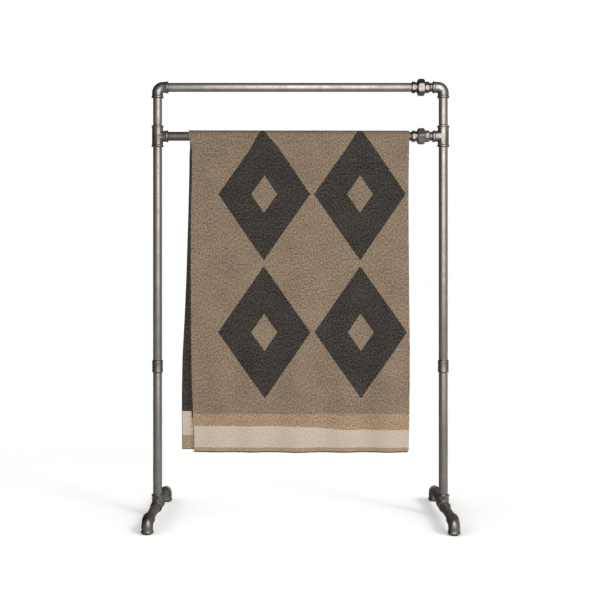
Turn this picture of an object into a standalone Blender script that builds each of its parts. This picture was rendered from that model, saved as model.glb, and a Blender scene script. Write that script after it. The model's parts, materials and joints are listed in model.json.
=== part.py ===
"""A wool blanket, folded in half along its length and hung over the lower rail of an iron pipe rack.

Metres, +Z up. The origin is on the floor under the middle of the rack. +X runs along the rails to the viewer's
right, and +Y runs to the back. The rack is screwed together from 3/4 inch pipe and its fittings.
"""

from collections import namedtuple
from math import cos, pi, radians, sin

import bmesh
import bpy
import numpy as np
from mathutils import Matrix

# Pipe and fittings
PIPE_RADIUS = 0.01335
BODY_RADIUS = 0.0164
BAND_RADIUS = 0.0180
BAND_LENGTH = 0.0055
BAND_SLOPE = 0.0010
REACH = 0.0315
BEND_RADIUS = 0.017
BEND_STEPS = 5
BRANCH_SLACK = 0.0003
GAP = 0.0003
ROUND_RESOLUTION = 6

# The rack's frame
POST_X = 0.4285
TOP_Z = 1.2873
RAIL_Z = 1.1406
COUPLING_Z = 0.4508
COUPLING_LENGTH = 0.0365
COUPLING_RADIUS = 0.0161
COUPLING_EDGE = 0.0015
LEFT_FOOT_REACH = 0.203
RIGHT_FOOT_REACH = 0.212
PAD_HEIGHT = 0.004
PAD_RADIUS = 0.0135
FOOT_Z = PAD_HEIGHT + REACH

# The unions, near the right-hand post
UNION_X = 0.3340
UNION_BODY_LENGTH = 0.0175
UNION_FLARE_LENGTH = 0.0070
UNION_BODY_RADIUS = 0.0184
UNION_NECK_RADIUS = 0.0158
UNION_FLARE_RADIUS = 0.0194
NUT_LENGTH = 0.0205
NUT_CORNER_RADIUS = 0.0262
TAIL_LENGTH = 0.0135
TAIL_RADIUS = 0.0181
TOP_NUT_TURN = 0.0
RAIL_NUT_TURN = 22.0

# The cloth
CLOTH_THICKNESS = 0.0013
RAIL_CLEARANCE = 0.0005
LAYER_GAP = 0.0004
INNER_RADIUS = PIPE_RADIUS + RAIL_CLEARANCE + CLOTH_THICKNESS / 2
COLUMNS = 30
LAST_REACH = 0.965
TURN_STEPS = 6
PANEL_ROWS = 10
ROW_CROWDING = 1.35
OVER_ROWS = 10

# How far the two layers part: everywhere below the rail, at the turn, and at the open side on the rail
PANEL_SLACK = 0.0014
TURN_SLACK = 0.0022
TURN_WIDTH = 0.030
OPEN_SLACK = 0.0010
SLACK_DROP = 0.120

# How far each layer hangs below the rail's centre, and how much lower the back hangs at the turn
Hang = namedtuple("Hang", "outer inner lean")
FRONT_HANG = Hang(outer=0.9331, inner=0.9459, lean=0.0)
BACK_HANG = Hang(outer=0.9403, inner=0.9393, lean=0.0055)

# The sides of the hanging cloth: x of both open edges and of the turn, at a drop below the rail's centre
Side = namedtuple("Side", "drop outer inner turn")
FRONT_SIDES = (
    Side(0.000, -0.3335, -0.3300, 0.3245),
    Side(0.035, -0.3240, -0.3283, 0.3238),
    Side(0.075, -0.3232, -0.3277, 0.3230),
    Side(0.190, -0.3250, -0.3295, 0.3220),
    Side(0.280, -0.3264, -0.3309, 0.3225),
    Side(0.500, -0.3266, -0.3311, 0.3245),
    Side(0.640, -0.3258, -0.3303, 0.3261),
    Side(0.730, -0.3243, -0.3288, 0.3258),
    Side(0.830, -0.3207, -0.3250, 0.3249),
    Side(0.900, -0.3166, -0.3196, 0.3238),
    Side(0.950, -0.3166, -0.3182, 0.3222),
)
BACK_SIDES = (
    Side(0.000, -0.3335, -0.3290, 0.3245),
    Side(0.035, -0.3332, -0.3330, 0.3235),
    Side(0.110, -0.3336, -0.3350, 0.3225),
    Side(0.190, -0.3345, -0.3368, 0.3215),
    Side(0.310, -0.3380, -0.3402, 0.3165),
    Side(0.430, -0.3418, -0.3440, 0.3115),
    Side(0.550, -0.3468, -0.3490, 0.3065),
    Side(0.670, -0.3530, -0.3550, 0.3020),
    Side(0.730, -0.3542, -0.3562, 0.2997),
    Side(0.950, -0.3540, -0.3560, 0.2925),
)

# The soft folds of each panel: where each ridge is, how far it stands out at the hem, its half width, and the
# drop at which it starts to form
Fold = namedtuple("Fold", "across stands half_width starts")
FRONT_FOLDS = (
    Fold(-0.243, 0.0060, 0.040, 0.30),
    Fold(-0.145, 0.0100, 0.036, 0.18),
    Fold(-0.010, 0.0160, 0.052, 0.05),
    Fold(0.128, 0.0130, 0.042, 0.12),
    Fold(0.262, 0.0135, 0.046, 0.08),
)
BACK_FOLDS = (
    Fold(-0.270, 0.0110, 0.045, 0.10),
    Fold(-0.140, 0.0150, 0.050, 0.06),
    Fold(0.005, 0.0120, 0.042, 0.16),
    Fold(0.118, 0.0150, 0.048, 0.08),
    Fold(0.238, 0.0100, 0.040, 0.20),
)

X_AXIS = np.array((1.0, 0.0, 0.0))
Y_AXIS = np.array((0.0, 1.0, 0.0))
Z_AXIS = np.array((0.0, 0.0, 1.0))


def clear_scene():
    for old in list(bpy.data.objects):
        bpy.data.objects.remove(old, do_unlink=True)


def new_collection(name):
    collection = bpy.data.collections.new(name)
    bpy.context.scene.collection.children.link(collection)
    return collection


def new_material(name, colour, roughness, metallic):
    material = bpy.data.materials.new(name)
    material.use_nodes = True
    shader = material.node_tree.nodes["Principled BSDF"]
    shader.inputs["Base Color"].default_value = (*colour, 1.0)
    shader.inputs["Roughness"].default_value = roughness
    shader.inputs["Metallic"].default_value = metallic
    return material


def round_bar(name, points, radii, material):
    """A round bar through the points, with its own radius at each, closed at both ends."""
    curve = bpy.data.curves.new(name, "CURVE")
    curve.dimensions = "3D"
    curve.bevel_depth = 1.0
    curve.bevel_resolution = ROUND_RESOLUTION
    curve.use_fill_caps = True
    spline = curve.splines.new("POLY")
    spline.points.add(len(points) - 1)
    for point, place, radius in zip(spline.points, points, radii):
        point.co = (*place, 1.0)
        point.radius = radius
    curve.materials.append(material)
    bar = bpy.data.objects.new(name, curve)
    parts.objects.link(bar)
    return bar


def as_mesh(bar):
    """The same bar as a mesh with its end caps welded on."""
    evaluated = bar.evaluated_get(bpy.context.evaluated_depsgraph_get())
    mesh = bpy.data.meshes.new_from_object(evaluated)
    shape = bmesh.new()
    shape.from_mesh(mesh)
    bmesh.ops.remove_doubles(shape, verts=shape.verts, dist=1e-6)
    bmesh.ops.recalc_face_normals(shape, faces=shape.faces)
    shape.to_mesh(mesh)
    shape.free()
    solid = bpy.data.objects.new("solid", mesh)
    solid.matrix_world = bar.matrix_world
    parts.objects.link(solid)
    name = bar.name
    bpy.data.objects.remove(bar, do_unlink=True)
    solid.name = name
    return solid


def fuse(solid, tool):
    """Joins the tool to the solid, and keeps it as a hidden guide."""
    parts.objects.unlink(tool)
    guides.objects.link(tool)
    tool.hide_render = True
    tool.display_type = "WIRE"
    union = solid.modifiers.new(tool.name, "BOOLEAN")
    union.operation = "UNION"
    union.object = tool


def pipe(name, start, end, material):
    """A length of pipe, short of what it is screwed into by the gap at each end."""
    start, end = np.array(start), np.array(end)
    inset = GAP * (end - start) / np.linalg.norm(end - start)
    return round_bar(name, (start + inset, end - inset), (PIPE_RADIUS,) * 2, material)


def mouth(centre, way, reach=REACH):
    """Points and radii of a fitting's mouth, from its face inwards: the band and the slope down to the body."""
    depths = (0.0, BAND_LENGTH, BAND_LENGTH + BAND_SLOPE)
    points = [centre + (reach - depth) * way for depth in depths]
    return points, [BAND_RADIUS, BAND_RADIUS, BODY_RADIUS]


def elbow(name, centre, first_way, second_way, material):
    """A quarter bend between two banded mouths, which look along the two ways from its centre."""
    points, radii = mouth(centre, first_way)
    last_points, last_radii = mouth(centre, second_way)
    corner = centre + BEND_RADIUS * (first_way + second_way)
    for step in range(BEND_STEPS + 1):
        angle = pi / 2 * step / BEND_STEPS
        points.append(corner - BEND_RADIUS * (cos(angle) * second_way + sin(angle) * first_way))
        radii.append(BODY_RADIUS)
    return round_bar(name, points + last_points[::-1], radii + last_radii[::-1], material)


def coupling(name, centre, material):
    """A plain sleeve with its edges broken."""
    half = COUPLING_LENGTH / 2
    heights = (-half, COUPLING_EDGE - half, half - COUPLING_EDGE, half)
    radii = (COUPLING_RADIUS - COUPLING_EDGE, COUPLING_RADIUS, COUPLING_RADIUS, COUPLING_RADIUS - COUPLING_EDGE)
    round_bar(name, [centre + height * Z_AXIS for height in heights], radii, material)


def tee(name, centre, run_way, branch_way, material):
    """A straight run with a branch fused into its middle."""
    points, radii = mouth(centre, run_way)
    last_points, last_radii = mouth(centre, -run_way)
    run = as_mesh(round_bar(name, points + last_points[::-1], radii + last_radii[::-1], material))
    points, radii = mouth(centre, branch_way)
    radii = [radius - BRANCH_SLACK for radius in radii]
    branch = round_bar(name + "_branch", points + [centre], radii + radii[-1:], material)
    fuse(run, as_mesh(branch))


def prism(name, sides, centre, length, corner_radius, turn, material):
    """A straight length along X with that many sides. At no turn a flat looks forwards."""
    mesh = bpy.data.meshes.new(name)
    shape = bmesh.new()
    along_x = Matrix.Rotation(radians(turn), 4, "X") @ Matrix.Rotation(radians(90), 4, "Y")
    bmesh.ops.create_cone(
        shape, cap_ends=True, segments=sides, radius1=corner_radius, radius2=corner_radius, depth=length,
        matrix=Matrix.Translation(centre) @ along_x @ Matrix.Rotation(pi / sides, 4, "Z"))
    shape.to_mesh(mesh)
    shape.free()
    mesh.materials.append(material)
    solid = bpy.data.objects.new(name, mesh)
    parts.objects.link(solid)
    return solid


def union_and_nipple(name, z, turn, material):
    """The union that closes a rail at the right: an eight-sided body with a round flare, the big six-sided nut
    and an eight-sided tail. Then the nipple to the post."""
    def place(x):
        return np.array((x, 0.0, z))

    body_end = UNION_X + UNION_BODY_LENGTH
    nut_end = body_end + GAP + NUT_LENGTH
    tail_end = nut_end + GAP + TAIL_LENGTH
    body = prism(
        name + "_union_body", 8, place(UNION_X + 0.4 * UNION_BODY_LENGTH), 0.8 * UNION_BODY_LENGTH,
        UNION_BODY_RADIUS, 0.0, material)
    flare = round_bar(
        name + "_union_flare", [place(body_end - UNION_FLARE_LENGTH), place(body_end)],
        [UNION_NECK_RADIUS, UNION_FLARE_RADIUS], material)
    fuse(body, as_mesh(flare))
    prism(
        name + "_union_nut", 6, place(nut_end - NUT_LENGTH / 2), NUT_LENGTH, NUT_CORNER_RADIUS, turn, material)
    prism(
        name + "_union_tail", 8, place(tail_end - TAIL_LENGTH / 2), TAIL_LENGTH, TAIL_RADIUS, 0.0, material)
    pipe(name + "_nipple", place(tail_end), place(POST_X - REACH), material)


def foot(side, x, foot_reach, material, pad_material):
    """The foot of one post: a tee on the floor line, with a nipple, an elbow and a pad to the front and back."""
    middle = np.array((x, 0.0, FOOT_Z))
    tee(side + "_foot_tee", middle, Y_AXIS, Z_AXIS, material)
    for end, way in (("front", -Y_AXIS), ("back", Y_AXIS)):
        corner = middle + foot_reach * way
        pipe(f"{side}_foot_nipple_{end}", middle + REACH * way, corner - REACH * way, material)
        elbow(f"{side}_foot_elbow_{end}", corner, -way, -Z_AXIS, material)
        floor = corner - FOOT_Z * Z_AXIS
        round_bar(
            f"{side}_foot_pad_{end}", [floor, floor + (PAD_HEIGHT - GAP) * Z_AXIS], [PAD_RADIUS] * 2,
            pad_material)


def post(side, x, material):
    """One post: two lengths of pipe in a coupling, the tee of the lower rail and the elbow of the top pipe."""
    inwards = -np.sign(x) * X_AXIS

    def place(z):
        return np.array((x, 0.0, z))

    half = COUPLING_LENGTH / 2
    pipe(side + "_post_lower", place(FOOT_Z + REACH), place(COUPLING_Z - half), material)
    coupling(side + "_coupling", place(COUPLING_Z), material)
    pipe(side + "_post_upper", place(COUPLING_Z + half), place(RAIL_Z - REACH), material)
    tee(side + "_rail_tee", place(RAIL_Z), Z_AXIS, inwards, material)
    pipe(side + "_post_top", place(RAIL_Z + REACH), place(TOP_Z - REACH), material)
    elbow(side + "_elbow", place(TOP_Z), -Z_AXIS, inwards, material)


def soft_step(share):
    """0 below 0, 1 above 1, and a smooth rise between."""
    share = np.clip(share, 0.0, 1.0)
    return share * share * (3.0 - 2.0 * share)


def stand_out(folds, x, drop):
    """How far the cloth stands out of its plumb line: a soft ridge for each fold, less their mean."""
    total = np.zeros_like(x)
    panel_width = FRONT_SIDES[0].turn - FRONT_SIDES[0].outer
    full_drop = FRONT_HANG.inner
    for fold in folds:
        ridge = np.exp(-(((x - fold.across) / fold.half_width) ** 2))
        mean = fold.half_width * pi**0.5 / panel_width
        formed = soft_step((drop - fold.starts) / (full_drop - fold.starts))
        total += fold.stands * formed * (ridge - mean)
    return total


def side_at(sides, column, drop):
    """One column of a table of sides, read at each drop."""
    return np.interp(drop, [row.drop for row in sides], [getattr(row, column) for row in sides])


def cloth_surface():
    """The middle surface of the cloth, as a grid of points: rows from the front hem over the rail to the back
    hem, columns from the outer layer's open edge through the turn to the inner layer's open edge.

    A point on a panel is the layer's distance from the rail's axis, in front or behind, at its drop. Over the
    rail that distance turns about the axis. The turn between the layers is half a circle."""
    flat = np.append(np.linspace(0.0, LAST_REACH, COLUMNS - 1), 1.0)
    turning = np.linspace(0.0, pi, TURN_STEPS + 1)[1:-1]
    reach = np.concatenate((flat, np.ones_like(turning), flat[::-1]))
    angle = np.concatenate((np.zeros_like(flat), turning, np.full_like(flat, pi)))
    inner_share = (1.0 - np.cos(angle)) / 2.0

    hung = np.linspace(1.0, 0.0, PANEL_ROWS + 1) ** ROW_CROWDING
    over = np.linspace(0.0, pi, OVER_ROWS + 1)
    share = np.concatenate((hung, np.zeros(OVER_ROWS - 1), hung[::-1]))[:, None]
    lift = np.concatenate((np.zeros_like(hung), over[1:-1], np.full_like(hung, pi)))[:, None]
    front = lift < pi / 2

    def hang(side):
        length = side.outer + (side.inner - side.outer) * inner_share + side.lean * reach
        return length[None, :]

    drop = share * np.where(front, hang(FRONT_HANG), hang(BACK_HANG))
    outer, inner, turn = (
        np.where(front, side_at(FRONT_SIDES, column, drop), side_at(BACK_SIDES, column, drop))
        for column in ("outer", "inner", "turn"))
    slack = soft_step(drop / SLACK_DROP)
    to_turn = (1.0 - reach) * (turn - outer) / TURN_WIDTH
    apart = CLOTH_THICKNESS + LAYER_GAP + OPEN_SLACK * (1.0 - reach) * (1.0 - slack)
    apart = apart + slack * (PANEL_SLACK + TURN_SLACK * np.exp(-(to_turn**2)))

    open_edge = outer + (inner - outer) * inner_share
    x = open_edge + (turn - apart / 2.0 - open_edge) * reach + apart / 2.0 * np.sin(angle)
    fold = np.where(front, stand_out(FRONT_FOLDS, x, drop), stand_out(BACK_FOLDS, x, drop))
    distance = INNER_RADIUS + apart * (1.0 - inner_share) + fold
    y = -np.cos(lift) * distance
    z = RAIL_Z + np.sin(lift) * distance - drop
    return np.stack((x, y, z), axis=-1)


def blanket(material):
    """The folded cloth as one sheet: its middle surface, thickened."""
    surface = cloth_surface()
    rows, columns = surface.shape[:2]
    index = np.arange(rows * columns).reshape(rows, columns)
    corners = (index[:-1, :-1], index[:-1, 1:], index[1:, 1:], index[1:, :-1])
    faces = np.stack(corners, axis=-1).reshape(-1, 4)
    mesh = bpy.data.meshes.new("blanket")
    mesh.from_pydata(surface.reshape(-1, 3).tolist(), [], faces.tolist())
    mesh.shade_smooth()
    mesh.materials.append(material)
    sheet = bpy.data.objects.new("blanket", mesh)
    parts.objects.link(sheet)
    thick = sheet.modifiers.new("thickness", "SOLIDIFY")
    thick.thickness = CLOTH_THICKNESS
    thick.offset = 0.0
    thick.use_even_offset = True
    return sheet


clear_scene()
parts = new_collection("blanket_on_pipe_rack")
guides = new_collection("branches")
iron = new_material("grey iron pipe", (0.185, 0.176, 0.162), 0.42, 0.85)
rubber = new_material("black rubber pad", (0.022, 0.021, 0.020), 0.70, 0.0)
wool = new_material("woven wool", (0.262, 0.199, 0.144), 0.90, 0.0)

for side, x, foot_reach in (("left", -POST_X, LEFT_FOOT_REACH), ("right", POST_X, RIGHT_FOOT_REACH)):
    post(side, x, iron)
    foot(side, x, foot_reach, iron, rubber)
for name, z, turn in (("top", TOP_Z, TOP_NUT_TURN), ("rail", RAIL_Z, RAIL_NUT_TURN)):
    left_mouth = np.array((REACH - POST_X, 0.0, z))
    pipe(name + "_pipe", left_mouth, np.array((UNION_X, 0.0, z)), iron)
    union_and_nipple(name, z, turn, iron)
blanket(wool)
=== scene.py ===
# %% [markdown]
# # A wool blanket on a pipe rack
# The object is a woven wool blanket. It is folded in half along its length and hangs over the lower rail of
# a garment rack that is screwed together from 3/4 inch iron pipe and cast fittings.
# The construction model gives the frame: its solids say where each piece is and how big it is. This script
# dresses them: smooth castings, threads and hexagon nuts for the rack, and a fine surface for the cloth.

# %% Load the frame
import json
from collections import namedtuple

import bmesh
import bpy
import numpy as np
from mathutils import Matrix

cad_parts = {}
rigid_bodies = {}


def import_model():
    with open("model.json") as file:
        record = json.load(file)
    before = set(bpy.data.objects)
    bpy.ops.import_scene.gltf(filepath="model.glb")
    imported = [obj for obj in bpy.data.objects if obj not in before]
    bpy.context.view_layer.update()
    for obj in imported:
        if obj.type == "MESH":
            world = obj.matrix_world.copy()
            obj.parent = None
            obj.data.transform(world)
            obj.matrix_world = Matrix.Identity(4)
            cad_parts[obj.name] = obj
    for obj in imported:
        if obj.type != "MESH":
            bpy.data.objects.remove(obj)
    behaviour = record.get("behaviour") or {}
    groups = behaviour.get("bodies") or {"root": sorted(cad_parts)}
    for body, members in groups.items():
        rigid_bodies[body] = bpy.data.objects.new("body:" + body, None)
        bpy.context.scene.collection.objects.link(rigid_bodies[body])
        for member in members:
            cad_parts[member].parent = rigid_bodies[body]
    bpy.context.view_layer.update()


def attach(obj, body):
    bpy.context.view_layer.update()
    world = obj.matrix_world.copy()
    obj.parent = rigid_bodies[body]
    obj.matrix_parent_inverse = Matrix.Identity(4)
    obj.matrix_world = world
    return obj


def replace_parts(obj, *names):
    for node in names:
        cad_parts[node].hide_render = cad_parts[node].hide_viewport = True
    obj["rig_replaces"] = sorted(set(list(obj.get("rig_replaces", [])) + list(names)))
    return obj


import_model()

# %% [markdown]
# ## Sizes
# Everything is in metres. The rack's sizes are those of standard 3/4 inch pipe and its malleable fittings.
# X runs along the rails to the viewer's right, Y to the back and Z up, with the origin on the floor under
# the middle. Pipes reach into their fittings, and pieces that only stand against each other keep a gap.

# %% Sizes of the rack
PIPE_RADIUS = 0.01335
BODY_RADIUS = 0.0164
BAND_RADIUS = 0.0180
BAND_LENGTH = 0.0055
REACH = 0.0315
BEND_RADIUS = 0.0170
BORE_RADIUS = 0.0137
SOCKET_DEPTH = 0.012
SCREWED_IN = 0.010
POST_X = 0.4285
TOP_Z = 1.2873
RAIL_Z = 1.1406
COUPLING_Z = 0.4508
COUPLING_LENGTH = 0.0365
COUPLING_RADIUS = 0.0161
FOOT_REACH = {"left": 0.203, "right": 0.212}
PAD_HEIGHT = 0.004
PAD_RADIUS = 0.0135
FOOT_Z = PAD_HEIGHT + REACH
GAP = 0.0003
X_AXIS, Y_AXIS, Z_AXIS = np.eye(3)
print("posts", 2 * POST_X, "m apart, top pipe at", TOP_Z)

# %% [markdown]
# ## Camera
# The camera stands 3 m in front of the posts at a height of 0.72 m, with a 60 mm lens. It could be tilted
# down to centre the rack, but then the posts would lean together in the picture. So it stays level and its
# frame is shifted, as with a view camera. The shifts are in pixels of the picture.

# %% Camera
CAMERA_DISTANCE = 3.0
CAMERA_HEIGHT = 0.7245
LENS_MM = 60.0
SENSOR_MM = 36.0
FRAME_PIXELS = 600
DOWN_PIXELS = 25.0
LEFT_PIXELS = 0.4

lens = bpy.data.cameras.new("camera")
lens.lens = LENS_MM
lens.sensor_width = SENSOR_MM
lens.shift_x = -LEFT_PIXELS / FRAME_PIXELS
lens.shift_y = -DOWN_PIXELS / FRAME_PIXELS
camera = bpy.data.objects.new("camera", lens)
camera.location = (0.0, -CAMERA_DISTANCE, CAMERA_HEIGHT)
camera.rotation_euler = (np.pi / 2, 0.0, 0.0)
bpy.context.scene.collection.objects.link(camera)
bpy.context.scene.camera = camera
bpy.context.scene.view_settings.view_transform = "Standard"
pixel_mm = 1000 * CAMERA_DISTANCE * SENSOR_MM / LENS_MM / FRAME_PIXELS
print("one pixel at the posts is", round(pixel_mm, 3), "mm")

# %% [markdown]
# ## Colours and nodes
# Colours are written as sRGB hex, as a paint chart gives them, and one function turns them to linear light.
# One function adds a shader node with its settings and links, so each material reads as a list of what it
# does.

# %% Colour and node helpers
def linear(hex_colour):
    """sRGB hex to linear RGBA: up to 0.04045 c / 12.92, above it ((c + 0.055) / 1.055) to the power 2.4."""
    c = np.array([int(hex_colour[i:i + 2], 16) for i in (1, 3, 5)]) / 255
    c = np.where(c <= 0.04045, c / 12.92, ((c + 0.055) / 1.055) ** 2.4)
    return (*c.tolist(), 1.0)


def add(tree, kind, inputs=None, **settings):
    """Adds a shader node. Each input is a value, or another node's output, which is linked."""
    node = tree.nodes.new("ShaderNode" + kind)
    for key, value in settings.items():
        setattr(node, key, value)
    for key, value in (inputs or {}).items():
        if isinstance(value, bpy.types.NodeSocket):
            tree.links.new(value, node.inputs[key])
        else:
            node.inputs[key].default_value = value
    return node


def new_material(name):
    """An empty material with its tree and its output node."""
    material = bpy.data.materials.new(name)
    material.use_nodes = True
    material.node_tree.nodes.clear()
    return material, material.node_tree, add(material.node_tree, "OutputMaterial")


print("sRGB #808080 is", round(linear("#808080")[0], 3), "in linear light")

# %% [markdown]
# ## Iron
# Black iron pipe is drawn steel under a thin grey oxide, waxed or oiled: a warm grey metal with a soft
# gloss. Flat grey would look like plastic, so colour and roughness wander in clouds a few centimetres wide,
# as wax and oil lie on the metal. The real grain is finer than a pixel. It is drawn about 2 mm wide, so
# that it shows. A metal keeps the default IOR. Its colour is in the reflection, so metallic is 1 and the
# base colour is a mid grey. The lower rail and the rails' nipples get a darker grey, which is painted
# shade. The lower union's nut and tail are darker still, also painted shade, and are metal only in part,
# so they take some light from every lamp.

# %% Iron materials
CLOUDS_PER_METRE = 28.0
ROUGHER, SMOOTHER = 0.06, 0.05


def iron(name, pale, dark, roughness, grain_mm, relief_mm, speckle, metallic=1.0):
    """Metal whose colour and roughness wander between two values. The grain shifts the colour by the
    speckle's share and gives the relief. A noise lies mostly from 0.3 to 0.7, so that range is stretched."""
    material, tree, output = new_material(name)
    place = add(tree, "TexCoord").outputs["Object"]
    grain = add(tree, "TexNoise", {
        "Vector": place, "Scale": 1000 / grain_mm, "Detail": 3.0, "Roughness": 0.6})
    cloud = add(tree, "TexNoise", {
        "Vector": place, "Scale": CLOUDS_PER_METRE, "Detail": 4.0, "Roughness": 0.65})
    worn = add(tree, "MapRange", {"Value": cloud.outputs["Fac"], "From Min": 0.35, "From Max": 0.68})
    mixed = add(tree, "Mix", {"Factor": worn.outputs["Result"], "A": linear(dark), "B": linear(pale)},
                data_type="RGBA")
    speck = add(tree, "MapRange", {"Value": grain.outputs["Fac"], "From Min": 0.3, "From Max": 0.7,
                                   "To Min": 1.0 - speckle, "To Max": 1.0 + speckle})
    colour = add(tree, "VectorMath", {0: mixed.outputs["Result"], 1: speck.outputs["Result"]},
                 operation="MULTIPLY")
    rough = add(tree, "MapRange", {"Value": cloud.outputs["Fac"], "From Min": 0.3, "From Max": 0.7,
                                   "To Min": roughness + ROUGHER, "To Max": roughness - SMOOTHER})
    bump = add(tree, "Bump", {"Height": grain.outputs["Fac"], "Distance": relief_mm / 1000, "Strength": 1.0})
    shader = add(tree, "BsdfPrincipled", {
        "Base Color": colour.outputs["Vector"], "Metallic": metallic, "Roughness": rough.outputs["Result"],
        "Normal": bump.outputs["Normal"]})
    tree.links.new(shader.outputs["BSDF"], output.inputs["Surface"])
    return material


# Smooth and pale, with one broad soft highlight: posts, feet and the top pipe
PIPE_IRON = iron("drawn iron pipe, waxed", "#bdb6af", "#aba49e", roughness=0.40, grain_mm=2.2,
                 relief_mm=0.03, speckle=0.09)
# Speckled and slightly pitted from the sand mould: elbows, tees and couplings
CAST_IRON = iron("sand-cast malleable iron", "#b0a9a2", "#89827b", roughness=0.30, grain_mm=2.2,
                 relief_mm=0.16, speckle=0.34)
# As smooth as the waxed pipe, but darker as painted shade: the lower rail and the rails' nipples
SHADE_DARKENED_PIPE = iron("drawn iron pipe, oiled", "#8d8781", "#78736e", roughness=0.36, grain_mm=2.2,
                  relief_mm=0.03, speckle=0.09)
# Worked with tools, so its flats are smooth and their highlights narrow: both unions' bodies,
# and the top one's nut and tail
UNION_IRON = iron("machined malleable iron, oiled", "#a09992", "#7c756f", roughness=0.22, grain_mm=2.2,
                  relief_mm=0.10, speckle=0.34)
# Dark and blotchy, its darkness painted shade for the nut's dim faces: the lower union's nut and tail
SHADE_DARKENED_IRON = iron("malleable iron in its casting skin", "#8f8880", "#67605a", roughness=0.22, grain_mm=2.0,
                relief_mm=0.07, speckle=0.60, metallic=0.62)
print("irons:", [material.name for material in (PIPE_IRON, CAST_IRON, SHADE_DARKENED_PIPE, UNION_IRON, SHADE_DARKENED_IRON)])

# %% [markdown]
# ## Rubber
# A small black rubber disc stands under the mouth of each foot. Moulded rubber is matt and nearly black,
# and the dust that clings to it greys it in patches a few millimetres wide.

# %% Rubber material
DUST_PER_METRE = 260.0
DUST_RELIEF = 0.00008


def rubber():
    """Moulded rubber with a dusty bloom."""
    material, tree, output = new_material("moulded black rubber")
    place = add(tree, "TexCoord").outputs["Object"]
    dust = add(tree, "TexNoise", {"Vector": place, "Scale": DUST_PER_METRE, "Detail": 4.0})
    colour = add(tree, "Mix", {"Factor": dust.outputs["Fac"], "A": linear("#171615"), "B": linear("#2c2a28")},
                 data_type="RGBA")
    bump = add(tree, "Bump", {"Height": dust.outputs["Fac"], "Distance": DUST_RELIEF})
    shader = add(tree, "BsdfPrincipled", {
        "Base Color": colour.outputs["Result"], "Roughness": 0.72, "IOR": 1.52,
        "Normal": bump.outputs["Normal"]})
    tree.links.new(shader.outputs["BSDF"], output.inputs["Surface"])
    return material


RUBBER = rubber()
print("pads:", RUBBER.name)

# %% [markdown]
# ## Round surfaces
# Each piece of the rack is turned, drawn or cast round a centreline. It could start as a cylinder and be
# edited, but here every one is rings of points carried along its centreline, with a radius for each ring
# and, where the section isn't round, for each angle. So one function makes them all. A ring of no radius
# closes an end.

# %% Carry a ring along a centreline
RING_SIDES = 96


def carried(name, centres, across, up, radii, material, sharp=35.0):
    """Point = centre + radius * (cos(angle) * across + sin(angle) * up), for every station and every angle.
    Points that fall together, as where a ring closes, are merged, and the faces are turned outwards."""
    angle = np.arange(RING_SIDES) * 2 * np.pi / RING_SIDES
    radii = np.broadcast_to(np.asarray(radii, float).reshape(len(centres), -1), (len(centres), RING_SIDES))
    ring = np.cos(angle)[None, :, None] * across[:, None, :] + np.sin(angle)[None, :, None] * up[:, None, :]
    points = centres[:, None, :] + radii[:, :, None] * ring
    index = np.arange(points.shape[0] * RING_SIDES).reshape(-1, RING_SIDES)
    ahead = np.roll(index, -1, axis=1)
    quads = np.stack((index[:-1], ahead[:-1], ahead[1:], index[1:]), axis=-1).reshape(-1, 4)
    mesh = bpy.data.meshes.new(name)
    mesh.from_pydata(points.reshape(-1, 3).tolist(), [], quads.tolist())
    shape = bmesh.new()
    shape.from_mesh(mesh)
    bmesh.ops.remove_doubles(shape, verts=shape.verts, dist=1e-6)
    bmesh.ops.recalc_face_normals(shape, faces=shape.faces)
    shape.to_mesh(mesh)
    shape.free()
    mesh.shade_smooth()
    mesh.set_sharp_from_angle(angle=np.radians(sharp))
    mesh.materials.append(material)
    piece = bpy.data.objects.new(name, mesh)
    bpy.context.scene.collection.objects.link(piece)
    return piece


def straight(name, start, way, stations, material, sharp=35.0):
    """A turned shape: stations are rows of distance along the way and radius, or radius by angle."""
    way = np.asarray(way, float)
    distance = np.array([row[0] for row in stations])
    radii = np.array([np.broadcast_to(row[1], RING_SIDES) for row in stations])
    side = Z_AXIS if abs(way @ Z_AXIS) < 0.5 else X_AXIS
    across = np.broadcast_to(side, (len(distance), 3))
    up = np.broadcast_to(np.cross(way, side), (len(distance), 3))
    return carried(name, start + distance[:, None] * way, across, up, radii, material, sharp)


def dress(piece, node):
    """The piece stands in for that node of the construction model, whose solid it hides, and hangs on the
    root body.
    """
    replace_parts(piece, node)
    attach(piece, "root")
    return piece


print("each ring has", RING_SIDES, "points")

# %% [markdown]
# ## Pipe
# Both ends of a pipe are cut with a thread, 14 turns to the inch, and a turn or two shows outside the
# fitting. A stack of grooves would do from afar. But a small wave in the radius that climbs one pitch for
# each turn is as easy and makes a real helix. It starts inside the fitting and fades out where the cutting
# stopped.

# %% Pipes
THREAD_PITCH = 0.0254 / 14
THREAD_DEPTH = 0.0009
THREAD_STEPS = 8
THREAD_SHOWS = 0.0034


def threaded_end(length_cut):
    """Stations from a pipe's end: distance and radius by angle. The radius is the pipe's, less
    depth * (1 - cos(2 pi * distance / pitch - angle)) / 2, which fades out over its last turn."""
    angle = np.arange(RING_SIDES) * 2 * np.pi / RING_SIDES
    count = int(length_cut / THREAD_PITCH * THREAD_STEPS)
    rows = []
    for distance in np.linspace(0.0, length_cut, count):
        fade = min(1.0, (length_cut - distance) / THREAD_PITCH)
        wave = (1 - np.cos(2 * np.pi * distance / THREAD_PITCH - angle)) / 2
        rows.append((distance, PIPE_RADIUS - THREAD_DEPTH * fade * wave))
    return rows


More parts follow.
